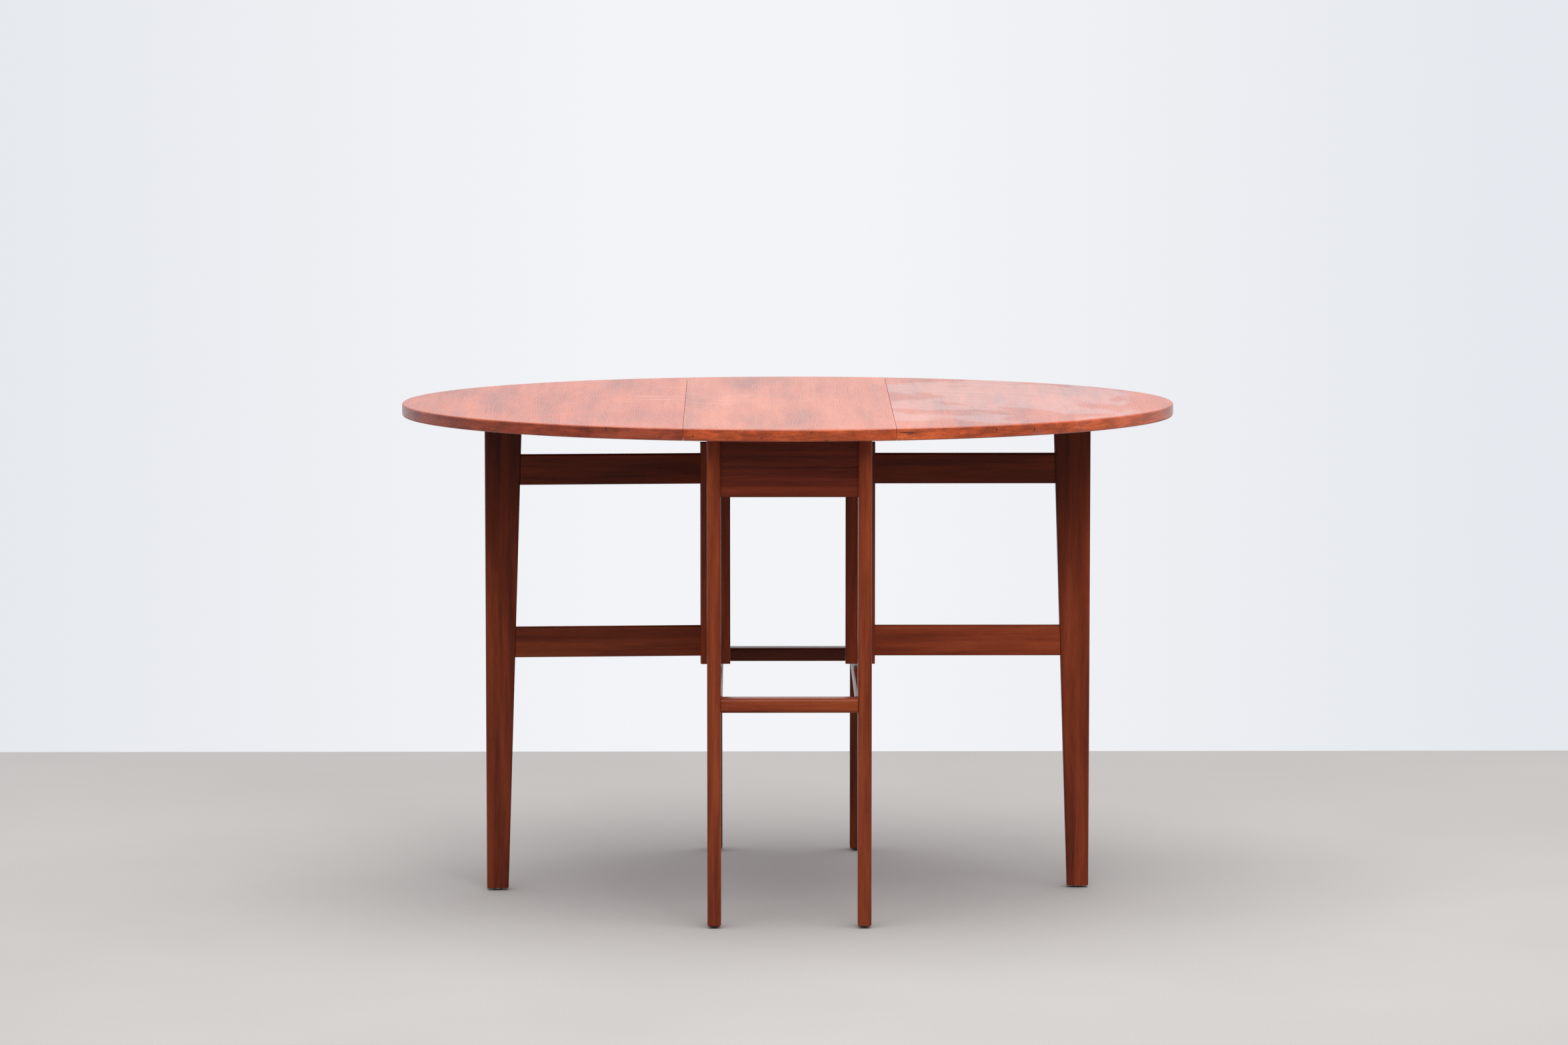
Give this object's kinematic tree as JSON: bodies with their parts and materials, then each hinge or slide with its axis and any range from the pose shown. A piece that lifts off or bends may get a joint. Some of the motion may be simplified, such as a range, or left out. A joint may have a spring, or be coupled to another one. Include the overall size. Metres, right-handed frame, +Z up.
{
  "type": "drop leaf table",
  "caption": "Oval drop leaf table with a narrow leg frame, flat stretchers and a swinging gate with a tapered leg under each leaf.",
  "frame": {"origin": "on the floor under the middle of the top, all leaves up", "axes": "+X along the oval's length towards the right leaf, +Y from the front towards the rear, +Z up"},
  "size_m": [1.144, 0.8158, 0.73],
  "materials": {
    "top_wood": "satin",
    "frame_wood": "satin",
    "apron_wood": "satin",
    "gate_wood": "satin",
    "brass": "aged",
    "steel": "bright",
    "glide_steel": "worn"
  },
  "bodies": {
    "frame": {"centre_panel": "top_wood", "frame_glides": "glide_steel", "front_apron": "apron_wood", "front_left_leg": "frame_wood", "front_right_leg": "frame_wood", "front_stretcher": "frame_wood", "hinge_screws": "steel", "left_front_hinge_leaf_plate": "brass", "left_front_hinge_panel_plate": "brass", "left_front_hinge_pin": "steel", "left_gate_stop": "frame_wood", "left_leaf": "top_wood", "left_lower_pivot_pin": "steel", "left_pivot_washer": "steel", "left_rear_hinge_leaf_plate": "brass", "left_rear_hinge_panel_plate": "brass", "left_rear_hinge_pin": "steel", "left_stretcher": "frame_wood", "left_top_rail": "apron_wood", "left_upper_pivot_pin": "steel", "rear_apron": "apron_wood", "rear_left_leg": "frame_wood", "rear_right_leg": "frame_wood", "rear_stretcher": "frame_wood", "right_front_hinge_leaf_plate": "brass", "right_front_hinge_panel_plate": "brass", "right_front_hinge_pin": "steel", "right_gate_stop": "frame_wood", "right_leaf": "top_wood", "right_lower_pivot_pin": "steel", "right_pivot_washer": "steel", "right_rear_hinge_leaf_plate": "brass", "right_rear_hinge_panel_plate": "brass", "right_rear_hinge_pin": "steel", "right_stretcher": "frame_wood", "right_top_rail": "apron_wood", "right_upper_pivot_pin": "steel", "stop_screws": "steel", "top_screws": "steel"},
    "left_gate": {"left_gate_glide": "glide_steel", "left_gate_leg": "gate_wood", "left_gate_lower_rail": "gate_wood", "left_gate_stile": "gate_wood", "left_gate_upper_rail": "gate_wood"},
    "right_gate": {"right_gate_glide": "glide_steel", "right_gate_leg": "gate_wood", "right_gate_lower_rail": "gate_wood", "right_gate_stile": "gate_wood", "right_gate_upper_rail": "gate_wood"}
  },
  "joints": [
    {"name": "left_gate_swing", "type": "hinge", "parent": "frame", "child": "left_gate", "pos_m": [-0.108, 0, 0.5], "axis": [0, 0, 1], "range_deg": [-3.3, 81.7]},
    {"name": "right_gate_swing", "type": "hinge", "parent": "frame", "child": "right_gate", "pos_m": [0.108, 0, 0.5], "axis": [0, 0, 1], "range_deg": [0, 85]}
  ]
}
